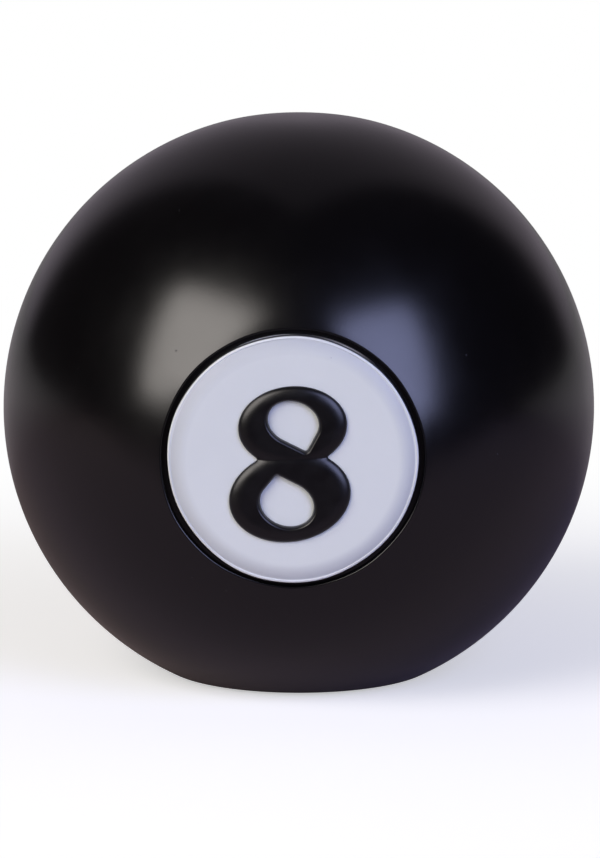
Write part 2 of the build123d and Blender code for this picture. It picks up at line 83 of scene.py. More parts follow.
# ---------------------------------------------------------------------------------------------------
# Softboxes. Two large soft panels in front of the ball and above it: a warm one on the left, which is the
# brighter, and a narrower, cooler one on the right. Their bearing to the right of the camera, their height
# above it and their span across and up are in degrees as seen from the ball.
softboxes = {
    "softbox_left": {
        "bearing": -41, "height": 20.5, "across": 46, "tall": 49, "watts": 34, "colour": (1, 0.94, 0.89),
    },
    "softbox_right": {
        "bearing": 35, "height": 15, "across": 39, "tall": 49, "watts": 29, "colour": (0.53, 0.58, 1),
    },
}
softbox_distance = 1.6
softbox_fade = 0.22


def panel_span(degrees):
    """Width of a panel that is seen from the ball under that angle."""
    return 2 * softbox_distance * math.tan(math.radians(degrees) / 2)


def add_node(owner, kind, feeds=None, **settings):
    """New shader node in a light, a world or a material, with its settings given by name.

    Each socket in feeds gets a plain value, the output of a node, or a node, which means its first output.
    """
    tree = owner.node_tree
    node = tree.nodes.new("ShaderNode" + kind)
    for setting, value in settings.items():
        setattr(node, setting, value)
    for socket, feed in (feeds or {}).items():
        if isinstance(feed, bpy.types.Node):
            feed = feed.outputs[0]
        if isinstance(feed, bpy.types.NodeSocket):
            tree.links.new(feed, node.inputs[socket])
        else:
            node.inputs[socket].default_value = feed
    return node


def carried(owner, strength, low, high, bottom=0, top=1, curve="LINEAR"):
    """A strength that runs from low to high, carried over to run from bottom to top."""
    limits = {"Value": strength, "From Min": low, "From Max": high, "To Min": bottom, "To Max": top}
    return add_node(owner, "MapRange", limits, interpolation_type=curve).outputs["Result"]


def component(owner, vector, axis):
    """One component of a vector: X, Y or Z."""
    return add_node(owner, "SeparateXYZ", {"Vector": vector}).outputs[axis]


def soften_edges(light):
    """Fade the panel smoothly to nothing over the outer share of its width on all four sides."""
    light.use_nodes = True
    place = add_node(light, "NewGeometry").outputs["Parametric"]
    centred = add_node(light, "VectorMath", {0: place, 1: (0.5, 0.5, 0)}, operation="SUBTRACT")
    folded = add_node(light, "VectorMath", {0: centred}, operation="ABSOLUTE")
    edges = {
        side: carried(light, component(light, folded, axis), 0.5, 0.5 - softbox_fade, curve="SMOOTHSTEP")
        for side, axis in enumerate("XY")
    }
    both = add_node(light, "Math", edges, operation="MULTIPLY")
    light.node_tree.links.new(both.outputs["Value"], light.node_tree.nodes["Emission"].inputs["Strength"])


for name, panel in softboxes.items():
    bearing = math.radians(panel["bearing"])
    height = math.radians(panel["height"])
    direction = (
        math.sin(bearing) * math.cos(height) * camera_right
        + math.sin(height) * camera_up
        + math.cos(bearing) * math.cos(height) * towards_camera
    )
    light = bpy.data.lights.new(name, "AREA")
    light.shape = "RECTANGLE"
    light.size = panel_span(panel["across"])
    light.size_y = panel_span(panel["tall"])
    light.energy = panel["watts"]
    light.color = panel["colour"]
    soften_edges(light)
    softbox = bpy.data.objects.new(name, light)
    bpy.context.scene.collection.objects.link(softbox)
    softbox.location = ball_centre + softbox_distance * direction
    softbox.rotation_mode = "QUATERNION"
    softbox.rotation_quaternion = direction.to_track_quat("Z", "Y")
    softbox.visible_camera = False

# ---------------------------------------------------------------------------------------------------
# Room. Dim all round, with a pale backdrop behind the ball that darkens upwards, so that the shell stays
# black and only its rim picks up light. Seen directly it is plain white.
room_dim = 0.016
room_colour = (1.0, 0.88, 1.02)
backdrop_low = 0.34
backdrop_high = 0.10
backdrop_edge = (0.70, 0.88)

world = bpy.data.worlds.new("room")
bpy.context.scene.world = world
bpy.context.scene.view_settings.view_transform = "Standard"
world.use_nodes = True
world.node_tree.nodes.clear()
way = add_node(world, "TexCoord").outputs["Generated"]
level_way = add_node(world, "VectorMath", {0: way, 1: (1, 1, 0)}, operation="MULTIPLY")
bearing_way = add_node(world, "VectorMath", {0: level_way}, operation="NORMALIZE")
backdrop_across = carried(world, component(world, bearing_way, "Y"), *backdrop_edge, curve="SMOOTHSTEP")
backdrop_up = carried(world, component(world, way, "Z"), 0, 1, backdrop_low, backdrop_high)
glow = add_node(world, "Math", {0: backdrop_across, 1: backdrop_up, 2: room_dim}, operation="MULTIPLY_ADD")
dim_room = add_node(world, "Background", {"Color": (*room_colour, 1), "Strength": glow})
white_room = add_node(world, "Background", {"Color": (1, 1, 1, 1)})
seen_directly = add_node(world, "LightPath").outputs["Is Camera Ray"]
room = add_node(world, "MixShader", {"Fac": seen_directly, 1: dim_room, 2: white_room})
add_node(world, "OutputWorld", {"Surface": room})

# ---------------------------------------------------------------------------------------------------
# Floor. A plain pale table top that the ball stands on. It fades to plain white away from the ball. In
# reflections it is a greyer matt sheet, darker towards the camera and with a glow of its own at the back.
floor_reach = 9.0
floor_pale = 0.80
floor_glow = 0.50
floor_reflected = (0.44, 0.36, 0.37)
floor_front = (0.05, 0.041, 0.043)
floor_front_edge = (-0.16, -0.36)
floor_back_glow = 0.22
floor_back_edge = (0.15, 0.45)
floor_fade = (0.06, 0.32)

floor_sides = ((-1, -1), (1, -1), (1, 1), (-1, 1))
floor_corners = [(across * floor_reach, along * floor_reach, 0) for across, along in floor_sides]
floor_mesh = bpy.data.meshes.new("floor")
floor_mesh.from_pydata(floor_corners, [], [(0, 1, 2, 3)])
floor = bpy.data.objects.new("floor", floor_mesh)
bpy.context.scene.collection.objects.link(floor)


def tinted(material, strength, first, second):
    """Colour that goes from the first to the second as the strength goes from 0 to 1."""
    first, second = ((*colour, 1) if isinstance(colour, tuple) else colour for colour in (first, second))
    return add_node(material, "Mix", {"Factor": strength, 6: first, 7: second}, data_type="RGBA").outputs[2]


paper = bpy.data.materials.new("pale_paper")
paper.use_nodes = True
paper.node_tree.nodes.clear()
place = add_node(paper, "TexCoord").outputs["Object"]
away = add_node(paper, "VectorMath", {0: place}, operation="LENGTH").outputs["Value"]
back = component(paper, place, "Y")
near_paper = add_node(paper, "BsdfDiffuse", {"Color": (floor_pale, floor_pale, floor_pale, 1)})
soft_glow = add_node(paper, "Emission", {"Strength": floor_glow})
lit_paper = add_node(paper, "AddShader", {0: near_paper, 1: soft_glow})
far_paper = add_node(paper, "Emission")
fade = carried(paper, away, *floor_fade, curve="SMOOTHSTEP")
seen_paper = add_node(paper, "MixShader", {"Fac": fade, 1: lit_paper, 2: far_paper})
mirrored_tone = tinted(paper, carried(paper, back, *floor_front_edge), floor_reflected, floor_front)
dull_paper = add_node(paper, "BsdfDiffuse", {"Color": mirrored_tone})
back_glow = carried(paper, back, *floor_back_edge, 0, floor_back_glow)
back_light = add_node(paper, "Emission", {"Strength": back_glow})
mirrored_paper = add_node(paper, "AddShader", {0: dull_paper, 1: back_light})
seen_directly = add_node(paper, "LightPath").outputs["Is Camera Ray"]
table_top = add_node(paper, "MixShader", {"Fac": seen_directly, 1: mirrored_paper, 2: seen_paper})
add_node(paper, "OutputMaterial", {"Surface": table_top})
floor_mesh.materials.append(paper)

# ---------------------------------------------------------------------------------------------------
# Ball shell. One hollow moulding of black vinyl, 3 mm thick, with a flat base. The front is opened by a
# round seat for the window, with a soft lip, and the base by a round opening for the housing. Bosses
# inside take the screws.
shell_wall = 0.003
base_z = shell_low.z
base_depth = ball_centre.z - base_z
base_edge = 0.0015
rebate_radius = 0.036
rebate_height = 0.0032
floor_thickness = 0.003
floor_opening = 0.03113
window_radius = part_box("number_window")[1].x
groove_width = 0.0016
groove_floor = -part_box("light_cup")[0].y
lip_radius = window_radius + groove_width
lip_edge = 0.0005
pocket_radius = window_radius + 0.0002
ledge_front = groove_floor - 0.0025
ledge_back = ledge_front - 0.003
ledge_inner = window_radius - 0.0055
seat_radius = lip_radius + shell_wall
cup_screw_circle = window_radius - 0.003
cup_boss = {"outer": 0.003, "inner": 0.0013, "around": 32}
cup_boss_height = 0.005
cup_boss_root = 0.0005
base_screw_circle = 0.0311
base_screw_angle = 30
base_boss = {"outer": 0.0042, "inner": 0.00155, "around": 32}
base_boss_height = 0.008
crown_sink = 0.0006
crown_width = 0.17
lip_wander = 0.00014
lip_wander_width = 0.0022
lip_reach_y = -0.06
body_wave = 0.00012
shell_columns = 320
sphere_rows = 128
inner_rows = 48
corner_rows = 12
weld_distance = 1e-7


def arc(centre, radius, start, end, count):
    """Profile points on an arc: centre plus the radius turned from the start angle to the end angle."""
    turn = np.linspace(start, end, count)
    return np.stack([centre[0] + radius * np.cos(turn), centre[1] + radius * np.sin(turn)], -1)


def rings(profile, swing=0.0, around=shell_columns):
    """Grid of rings about a line through the origin, tipped up from straight ahead by the swing.

    Each profile point is a radius and a distance out along the line. A point of its ring is the distance
    times the line's direction, plus the radius times the sum of X times the sine of the turn and the low
    side times its cosine. The low side is square to X and to the line, and points down when that is level.
    """
    turn = np.linspace(0, 2 * np.pi, around, endpoint=False)
    radius, depth = np.asarray(profile, float).T
    swing = np.broadcast_to(swing, radius.shape)
    low_side = radius[:, None] * np.cos(turn)
    x = radius[:, None] * np.sin(turn)
    y = -(depth * np.cos(swing))[:, None] - low_side * np.sin(swing)[:, None]
    z = (depth * np.sin(swing))[:, None] - low_side * np.cos(swing)[:, None]
    return np.stack([x, y, z], -1)


def hinged_rings(radius, front_depth, low_depth, count):
    """Rings in which planes hinged about one line cut a sphere.

    The line is level and lies outside the ball, where the plane of the front circle meets the plane of the
    lower one. A plane that is swung by an angle lies at the front depth times its cosine less the low depth
    times its sine from the centre.
    """
    swing = np.linspace(0, np.pi / 2, count)
    depth = front_depth * np.cos(swing) - low_depth * np.sin(swing)
    return rings(np.stack([np.sqrt(radius**2 - depth**2), depth], -1), swing)


def settled(points):
    """The moulding's own unevenness, as small shifts of every point.

    The crown sinks by a bell curve of the angle from the top, the whole ball swells and shrinks by slow sine
    waves of its direction, and the lip wanders in and out by sine waves of the angle round the window.
    """
    far = np.linalg.norm(points, axis=-1, keepdims=True)
    way = points / far
    crown = np.exp(-((np.arccos(np.clip(way[..., 2:], -1, 1)) / crown_width) ** 2))
    slow = np.sin(2.3 * way[..., :1] + 1.1) * np.sin(2.9 * way[..., 1:2] - 0.6) * np.cos(2.1 * way[..., 2:])
    moved = points - way * (crown_sink * crown - body_wave * slow)
    out = np.hypot(points[..., 0], points[..., 2])[..., None]
    turn = np.arctan2(points[..., 2], points[..., 0])[..., None]
    wander = np.sin(2 * turn + 0.7) + 0.6 * np.sin(5 * turn + 2.0) + 0.35 * np.sin(11 * turn)
    near_lip = np.exp(-(((out - lip_radius) / lip_wander_width) ** 2)) * (points[..., 1:2] < lip_reach_y)
    sideways = np.concatenate([points[..., :1], np.zeros_like(out), points[..., 2:]], -1)
    return moved + sideways / np.maximum(out, 1e-6) * near_lip * wander * lip_wander


def tube(place, low, high, outer, inner, around):
    """Closed tube about an upright line: its profile is a rectangle between two radii and two heights."""
    profile = [(outer, low), (outer, high), (inner, high), (inner, low), (outer, low)]
    turn = np.linspace(0, 2 * np.pi, around, endpoint=False)
    radius, height = np.array(profile, float).T
    x = place[0] + radius[:, None] * np.cos(turn)
    y = place[1] + radius[:, None] * np.sin(turn)
    return np.stack([x, y, height[:, None] + 0 * turn], -1)


def on_circle(radius, degrees):
    """Place on a circle about the middle, at an angle from X."""
    return radius * math.cos(math.radians(degrees)), radius * math.sin(math.radians(degrees))


def facing_front(points):
    """Points given as right, up and forward from the middle of the ball, put in their place in the frame."""
    return np.stack([points[..., 0], -points[..., 2], points[..., 1]], -1) + np.array(ball_centre)


def make_piece(name, grids, sharp_degrees=35):
    """Mesh piece made of grids of points, rows by columns, that close on themselves round each row.

    Points that meet are welded. A wall that two grids have in common is inside the piece, so it is left out.
    """
    points, faces, start = [], [], 0
    for grid in grids:
        index = start + np.arange(grid.shape[0] * grid.shape[1]).reshape(grid.shape[:2])
        turned = np.roll(index, -1, axis=1)
        faces.append(np.stack([index[:-1], turned[:-1], turned[1:], index[1:]], -1).reshape(-1, 4))
        points.append(grid.reshape(-1, 3))
        start += index.size
    points, faces = np.concatenate(points), np.concatenate(faces)
    steps = np.round(points / weld_distance).astype(np.int64)
    spots = np.unique(steps, axis=0, return_inverse=True)[1].reshape(-1)
    corners = np.sort(spots[faces], axis=1)
    kinds, copies = np.unique(corners, axis=0, return_inverse=True, return_counts=True)[1:]
    mesh = bpy.data.meshes.new(name)
    mesh.from_pydata(points.tolist(), [], faces[copies[kinds.reshape(-1)] == 1].tolist())
    work = bmesh.new()
    work.from_mesh(mesh)
    bmesh.ops.remove_doubles(work, verts=work.verts, dist=weld_distance)
    bmesh.ops.recalc_face_normals(work, faces=work.faces)
    work.to_mesh(mesh)
    work.free()
    mesh.shade_smooth()
    mesh.set_sharp_from_angle(angle=math.radians(sharp_degrees))
    piece = bpy.data.objects.new(name, mesh)
    bpy.context.scene.collection.objects.link(piece)
    return piece


def rolled_corner(middle, edge, end):
    """Arc of the edge's radius, which starts where it leaves the sphere and turns to the end angle."""
    return arc(middle, edge, math.atan2(middle[1], middle[0]), end, corner_rows)


def pointing_down(profile):
    """The same profile with its distances measured upwards, for rings about the upright line."""
    return [(radius, -depth) for radius, depth in profile]


lip_middle_radius = lip_radius + lip_edge
lip_middle_depth = math.sqrt((ball_radius - lip_edge) ** 2 - lip_middle_radius**2)
lip = rolled_corner((lip_middle_radius, lip_middle_depth), lip_edge, math.pi)
base_middle_depth = base_depth - base_edge
base_middle_radius = math.sqrt((ball_radius - base_edge) ** 2 - base_middle_depth**2)
base_corner = rolled_corner((base_middle_radius, base_middle_depth), base_edge, math.pi / 2)
inner_radius = ball_radius - shell_wall
floor_depth = base_depth - rebate_height - floor_thickness
seat_depth = math.sqrt(inner_radius**2 - seat_radius**2)
seat_profile = [
    (lip_radius, groove_floor),
    (pocket_radius, groove_floor),
    (pocket_radius, ledge_front),
    (ledge_inner, ledge_front),
    (ledge_inner, ledge_back),
    (seat_radius, ledge_back),
]
base_profile = [
    (rebate_radius, base_depth),
    (rebate_radius, base_depth - rebate_height),
    (floor_opening, base_depth - rebate_height),
    (floor_opening, floor_depth),
    (math.sqrt(inner_radius**2 - floor_depth**2), floor_depth),
]
shell_grid = np.concatenate([
    hinged_rings(ball_radius, lip[0][1], base_corner[0][1], sphere_rows),
    rings(pointing_down(base_corner[1:]), np.pi / 2),
    rings(pointing_down(base_profile), np.pi / 2),
    hinged_rings(inner_radius, seat_depth, floor_depth, inner_rows)[::-1],
    rings(seat_profile[::-1]),
    rings(lip[::-1]),
])
shell_grids = [settled(shell_grid) + np.array(ball_centre)]
for degrees in (45, 135, 225, 315):
    spot = on_circle(cup_screw_circle, degrees)
    boss = tube(spot, ledge_back - cup_boss_height, ledge_back + cup_boss_root, **cup_boss)
    shell_grids.append(facing_front(boss))
plate_top = base_z + rebate_height
boss_top = plate_top + floor_thickness + base_boss_height
for degrees in (base_screw_angle, 180 - base_screw_angle, 180 + base_screw_angle, 360 - base_screw_angle):
    shell_grids.append(tube(on_circle(base_screw_circle, degrees), plate_top, boss_top, **base_boss))
ball_shell = make_piece("ball_shell_moulding", shell_grids)

noise_swing = (0.3, 0.7)


def new_finish(name, colour, roughness, **plain):
    """New material. Values that are the same all over are set on the shader's own sockets."""
    material = bpy.data.materials.new(name)
    material.use_nodes = True
    shader = material.node_tree.nodes["Principled BSDF"]
    shader.inputs["Base Color"].default_value = (*colour, 1)
    shader.inputs["Roughness"].default_value = roughness
    for socket, value in plain.items():
        shader.inputs[socket.replace("_", " ")].default_value = value
    return material


def grain(finish, scale, detail=2.0, stretch=(1, 1, 1)):
    """Noise on object coordinates, scale being its waves per metre, as a strength from 0 to 1."""
    place = add_node(finish, "TexCoord").outputs["Object"]
    sized = add_node(finish, "Mapping", {"Vector": place, "Scale": stretch})
    return add_node(finish, "TexNoise", {"Vector": sized, "Scale": scale, "Detail": detail}).outputs["Fac"]


def specks(finish, spacing, size, share):
    """Small round specks, one in a share of the cells of a jumbled lattice, as a strength from 0 to 1.

    The strength falls off over the outer half of a speck's radius, which is its size.
    """
    place = add_node(finish, "TexCoord").outputs["Object"]
    cells = add_node(finish, "TexVoronoi", {"Vector": place, "Scale": 1 / spacing})
    cell_mark = add_node(finish, "SeparateColor", {"Color": cells.outputs["Color"]}).outputs["Red"]
    close = carried(finish, cells.outputs["Distance"], size / spacing, 0.5 * size / spacing)
    picked = carried(finish, cell_mark, share, share * 0.98)
    return add_node(finish, "Math", {0: close, 1: picked}, operation="MULTIPLY").outputs["Value"]


def link_to(finish, socket, value):
    """Feed a value that varies over the surface into one of the shader's sockets."""
    finish.node_tree.links.new(value, finish.node_tree.nodes["Principled BSDF"].inputs[socket])


def vary_colour(finish, strength, first, second):
    """Let the colour go from the first to the second as the strength goes from 0 to 1."""
    link_to(finish, "Base Color", tinted(finish, strength, first, second))


def vary_roughness(finish, noise, first, second):
    """Let the roughness go from the first to the second over the swing that a noise mostly keeps to."""
    link_to(finish, "Roughness", carried(finish, noise, *noise_swing, first, second))


def pressed(finish, *reliefs):
    """Surface relief: each is a strength and the depth in metres that its full swing stands for."""
    above = {}
    for strength, depth in reliefs:
        bump = add_node(finish, "Bump", {"Height": strength, "Distance": depth, **above})
        above = {"Normal": bump}
    link_to(finish, "Normal", bump.outputs["Normal"])


shell_finish = new_finish("black_vinyl", (0.0018, 0.0016, 0.0018), 0.22, IOR=1.56)
dust = specks(shell_finish, 0.0046, 0.00024, 0.22)
mottle = tinted(shell_finish, grain(shell_finish, 45, 3), (0.0014, 0.0012, 0.0014), (0.0024, 0.0021, 0.0024))
vary_colour(shell_finish, dust, mottle, (0.02, 0.02, 0.022))
vary_roughness(shell_finish, grain(shell_finish, 70, 4), 0.20, 0.245)
pressed(
    shell_finish,
    (grain(shell_finish, 1400, 2), 0.000006),
    (grain(shell_finish, 160, 2), 0.00001),
    (dust, 0.00006),
)
ball_shell.data.materials.append(shell_finish)
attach(ball_shell, "ball")
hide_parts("ball_shell")

# ---------------------------------------------------------------------------------------------------
# Number window. A translucent white disc whose face rolls off towards a fine raised bead round its edge.
# A skirt stands on the cup's flange, and four pegs on its back are pressed into it.
# Its white carries painted shade: darker over the valley of the roll-off, and nearly black down the side of
# its edge in the groove.
window_face = -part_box("number_window")[0].y
window_back = window_face - 0.002
skirt_wall = 0.0016
roll_start = window_radius - 0.0047
roll_end = window_radius - 0.0006
roll_drop = 0.0009
roll_power = 1.8
bead_start = window_radius - 0.001
bead_radius = window_radius - 0.00048
bead_height = 0.00022
bead_width = 0.0002
edge_round = 0.00035
window_wander = 0.00016
peg_radius = 0.0012
peg_length = 0.0033
peg_root = 0.0005
window_columns = 256
peg_columns = 24
flat_rings = 10
roll_rings = 16
bead_rings = 22
edge_rings = 8
# How far inside the bead the painted shade of the roll-off is full, and how far behind the face's edge the
# painted shade down the side starts and is full.
bead_shade_width = 0.0005
side_shade = (0.0003, 0.0011)


def face_depth(radius):
    """Height of the window's face at a radius: flat, then a smooth drop to the edge, plus the bead.

    The drop follows a power of the share of the roll that lies inside the radius, and the bead a bell curve.
    """
    share = np.clip((radius - roll_start) / (roll_end - roll_start), 0, 1)
    bead = np.exp(-(((radius - bead_radius) / bead_width) ** 2))
    return window_face - roll_drop * share**roll_power + bead_height * bead


def wandering(points):
    """The window's edge trimmed a little unevenly: its radius follows slow sine waves of the angle."""
    out = np.hypot(points[..., 0], points[..., 2])
    turn = np.arctan2(points[..., 2], points[..., 0])
    wave = np.sin(3 * turn + 0.4) + 0.7 * np.sin(4 * turn + 2.2) + 0.4 * np.sin(9 * turn + 1.0)
    grow = 1 + window_wander * wave * np.clip(out / window_radius, 0, 1) ** 6 / window_radius
    return points * np.stack([grow, np.ones_like(grow), grow], -1)


face_radii = np.concatenate([
    np.linspace(0, roll_start, flat_rings, endpoint=False),
    np.linspace(roll_start, bead_start, roll_rings, endpoint=False),
    np.linspace(bead_start, window_radius - edge_round, bead_rings),
])
face_profile = np.stack([face_radii, face_depth(face_radii)], -1)
edge_top = face_profile[-1]
edge_profile = arc((edge_top[0], edge_top[1] - edge_round), edge_round, math.pi / 2, 0, edge_rings)[1:]
skirt_profile = [
    (window_radius, groove_floor),
    (window_radius - skirt_wall, groove_floor),
    (window_radius - skirt_wall, window_back),
    (0, window_back),
]
peg_profile = [
    (0, window_back - peg_length),
    (peg_radius, window_back - peg_length),
    (peg_radius, window_back + peg_root),
    (0, window_back + peg_root),
]
window_grid = rings(np.concatenate([face_profile, edge_profile, skirt_profile]), around=window_columns)
window_grids = [wandering(window_grid) + np.array(ball_centre)]
for degrees in (0, 90, 180, 270):
    right, up = on_circle(cup_screw_circle, degrees)
    peg_place = np.array(ball_centre + Vector((right, 0, up)))
    window_grids.append(rings(peg_profile, around=peg_columns) + peg_place)
number_window = make_piece("number_window_disc", window_grids, sharp_degrees=50)

window_finish = new_finish(
    "white_window",
    (0.76, 0.80, 0.77),
    0.36,
    IOR=1.49,
    Subsurface_Weight=0.25,
    Subsurface_Scale=0.0012,
    Subsurface_Radius=(1, 1, 1),
)
place = add_node(window_finish, "TexCoord").outputs["Object"]
from_middle = add_node(window_finish, "VectorMath", {0: place, 1: ball_centre}, operation="SUBTRACT")
across_face = add_node(window_finish, "VectorMath", {0: from_middle, 1: (1, 0, 1)}, operation="MULTIPLY")
from_axis = add_node(window_finish, "VectorMath", {0: across_face}, operation="LENGTH").outputs["Value"]
# Painted shade: the white is darkened over the valley where the face rolls off towards its edge, then lifts
# back to the plain light white over the bead.
bead_shade = bead_radius - bead_shade_width
valley_painted_shade = carried(window_finish, from_axis, roll_start - bead_shade_width, bead_shade)
on_bead = carried(window_finish, from_axis, bead_shade, bead_radius)
# Painted shade: the side of the disc below its rolled edge, down in the groove, is darkened nearly to black.
behind_edge = [behind - edge_top[1] for behind in side_shade]
groove_side_painted_shade = carried(window_finish, component(window_finish, place, "Y"), *behind_edge)
pepper = specks(window_finish, 0.0034, 0.00022, 0.14)
cloud = tinted(window_finish, grain(window_finish, 55, 3), (0.74, 0.78, 0.75), (0.78, 0.82, 0.79))
clean = tinted(window_finish, pepper, cloud, (0.42, 0.41, 0.48))
shaded = tinted(window_finish, valley_painted_shade, clean, (0.56, 0.59, 0.60))
beaded = tinted(window_finish, on_bead, shaded, (0.78, 0.82, 0.80))
vary_colour(window_finish, groove_side_painted_shade, beaded, (0.05, 0.05, 0.055))
vary_roughness(window_finish, grain(window_finish, 120, 3), 0.32, 0.42)
pressed(window_finish, (grain(window_finish, 420, 2), 0.000012), (pepper, 0.00005))
number_window.data.materials.append(window_finish)
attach(number_window, "ball")
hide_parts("number_window")

# ---------------------------------------------------------------------------------------------------
# Numeral. A raised black figure with pillowed strokes, moulded by itself. Four studs go through the
# window, and their ends are staked over behind it. Its outline is two tilted oval bowls that overlap at
# the waist, each with a teardrop counter.
numeral_relief = 0.0018
pillow_width = 0.0036
counter_pillow_width = 0.0010
pillow_lift = 0.02
numeral_sunk = 0.0004
upper_bowl = {"centre": (0.00005, 0.0093), "size": (0.0147, 0.011), "tilt": 5}
lower_bowl = {"centre": (-0.0007, -0.01), "size": (0.0165, 0.0124), "tilt": 10}
upper_counter = {"centre": (0.00025, 0.0105), "size": (0.007, 0.0056), "tilt": -20, "tip": (0.0035, 0.0035)}
lower_counter = {"centre": (-0.0015, -0.012), "size": (0.0074, 0.006), "tilt": -20, "tip": (-0.004, -0.0049)}
counter_tip_radius = 0.0008
waist_blend = 0.0006
waist_middle = np.array([-0.0004, 0.0006])
notch_lean = 40
notch_tries = 161
rim_search = {"notch": 0.03, "outline": 0.04, "counter": 0.02}
rim_steps = 81
rim_halvings = 30
facing_count = 540
stud_radius = 0.0012
stud_head_radius = 0.0020
stud_head_height = 0.0008
stud_places = [(-0.0106, 0.0096), (0.0109, 0.0098), (-0.0129, -0.0116), (0.0109, -0.0112)]
stud_columns = 24
waist_columns = 48
bowl_columns = 208
stroke_rows = 41

facings = np.linspace(0, 2 * np.pi, facing_count, endpoint=False)
facing_ways = np.stack([np.cos(facings), np.sin(facings)], -1)


def reach_of(shape):
    """How far a tilted oval, with its round tip if it has one, reaches in each facing direction.

    An oval reaches its centre's share of the direction plus the root of the sum of squared half-axis
    shares, and the tip its own share plus its radius. The outline drawn tight round both reaches the
    greater of the two.
    """
    tilt = math.radians(shape["tilt"])
    along = facing_ways @ np.array([math.cos(tilt), math.sin(tilt)])
    across = facing_ways @ np.array([-math.sin(tilt), math.cos(tilt)])
    oval = np.hypot(shape["size"][0] * along, shape["size"][1] * across)
    reach = facing_ways @ np.array(shape["centre"]) + oval
    if "tip" in shape:
        reach = np.maximum(reach, facing_ways @ np.array(shape["tip"]) + counter_tip_radius)
    return reach


def outside(points, reach):
    """Distance of each point outside a rounded outline: the most by which it passes a tangent line."""
    flat = points.reshape(-1, 2)
    return np.max(flat @ facing_ways.T - reach, axis=1).reshape(points.shape[:-1])


def softer_max(first, second, blend):
    """Greater of two values, with the corner between them rounded.

    It is half the sum of the two, plus half the root of the squared gap and the squared blend added up.
    """
    return (first + second + np.sqrt((first - second) ** 2 + blend**2)) / 2


bowl_reaches = [reach_of(upper_bowl), reach_of(lower_bowl)]
counter_reaches = [reach_of(upper_counter), reach_of(lower_counter)]


def depth_in_bowls(points):
    """Depth of each point inside the two bowls taken together, with the notches of the waist rounded."""
    inside = [-outside(points, reach) for reach in bowl_reaches]
    return softer_max(inside[0], inside[1], waist_blend)


def pillow(depth, width):
    """Share of the full height at a depth inside an edge: a quarter ellipse over the width, then level.

    The rise starts a little way up the ellipse, where it isn't upright any more.
    """
    return np.sqrt(1 - (1 - np.clip(depth / width + pillow_lift, 0, 1)) ** 2)


def stroke_height(points):
    """Height of the figure at each point: the relief times the pillow of its rim and of each counter."""
    height = numeral_relief * pillow(depth_in_bowls(points), pillow_width)
    for reach in counter_reaches:
        height = height * pillow(outside(points, reach), counter_pillow_width)
    return height


def rim_of(start, ways, depth_of, far):
    """Where straight lines from a start first leave a shape whose depth is positive inside it.

    Even steps out to the far distance find the first one that is outside, and halving it finds the rim.
    """
    steps = np.linspace(0, far, rim_steps)
    held = depth_of(start + steps[:, None, None] * ways) > 0
    first_out = np.argmin(held, axis=0)
    near, beyond = steps[first_out - 1], steps[first_out]
    for _ in range(rim_halvings):
        middle = (near + beyond) / 2
        held = depth_of(start + middle[:, None] * ways) > 0
        near, beyond = np.where(held, middle, near), np.where(held, beyond, middle)
    return start + near[:, None] * ways


def notch(middle, side):
    """The waist's notch on one side: the place where the outline comes nearest to the middle."""
    lean = np.radians(np.linspace(-notch_lean, notch_lean, notch_tries))
    ways = side * np.stack([np.cos(lean), np.sin(lean)], -1)
    rim = rim_of(middle, ways, depth_in_bowls, rim_search["notch"])
    return rim[np.argmin(np.linalg.norm(rim - middle, axis=1))]


def bowl_grid(counter, counter_reach, waist):
    """Grid of one bowl's stroke: straight lines from its counter out to the rim, and to the waist line.

    The waist runs anticlockwise as seen from the counter, and the rim goes on from its end round to its
    start. Row by row the share of the way out follows half a cosine wave, so that rows crowd at both edges.
    """
    start = np.array(counter["centre"])
    end_way, start_way = waist[-1] - start, waist[0] - start
    first = math.atan2(end_way[1], end_way[0])
    sweep = (math.atan2(start_way[1], start_way[0]) - first) % (2 * math.pi)
    turns = first + sweep * np.linspace(0, 1, bowl_columns + 2)[1:-1]
    ways = np.stack([np.cos(turns), np.sin(turns)], -1)
    outer = np.concatenate([waist, rim_of(start, ways, depth_in_bowls, rim_search["outline"])])
    outward = (outer - start) / np.linalg.norm(outer - start, axis=1, keepdims=True)
    inner = rim_of(start, outward, lambda points: -outside(points, counter_reach), rim_search["counter"])
    share = (1 - np.cos(np.linspace(0, np.pi, stroke_rows))) / 2
    return inner + share[:, None, None] * (outer - inner)


def at_height(flat, height):
    """Flat points raised to a height in front of the ball's middle."""
    return np.concatenate([flat, np.broadcast_to(np.asarray(height, float), flat.shape[:-1])[..., None]], -1)


waist_start, waist_end = notch(waist_middle, -1), notch(waist_middle, 1)
waist_line = waist_start + np.linspace(0, 1, waist_columns)[:, None] * (waist_end - waist_start)
numeral_grids = []
for counter, counter_reach, waist in (
    (upper_counter, counter_reaches[0], waist_line),
    (lower_counter, counter_reaches[1], waist_line[::-1]),
):
    flat = bowl_grid(counter, counter_reach, waist)
    top = at_height(flat, window_face + stroke_height(flat))
    under = at_height(flat, window_face - numeral_sunk)
    numeral_grids.append(facing_front(np.concatenate([under[:1], top, under[-1:]])))
    numeral_grids.append(facing_front(under[[-1, 0]]))
stud_profile = [
    (0, window_back - stud_head_height),
    (stud_head_radius, window_back - stud_head_height),
    (stud_head_radius, window_back),
    (stud_radius, window_back),
    (stud_radius, window_face),
    (0, window_face),
]
for right, up in stud_places:
    stud = rings(stud_profile, around=stud_columns) + np.array(ball_centre)
    numeral_grids.append(stud + np.array([right, 0, up]))
numeral = make_piece("numeral_eight", numeral_grids, sharp_degrees=60)

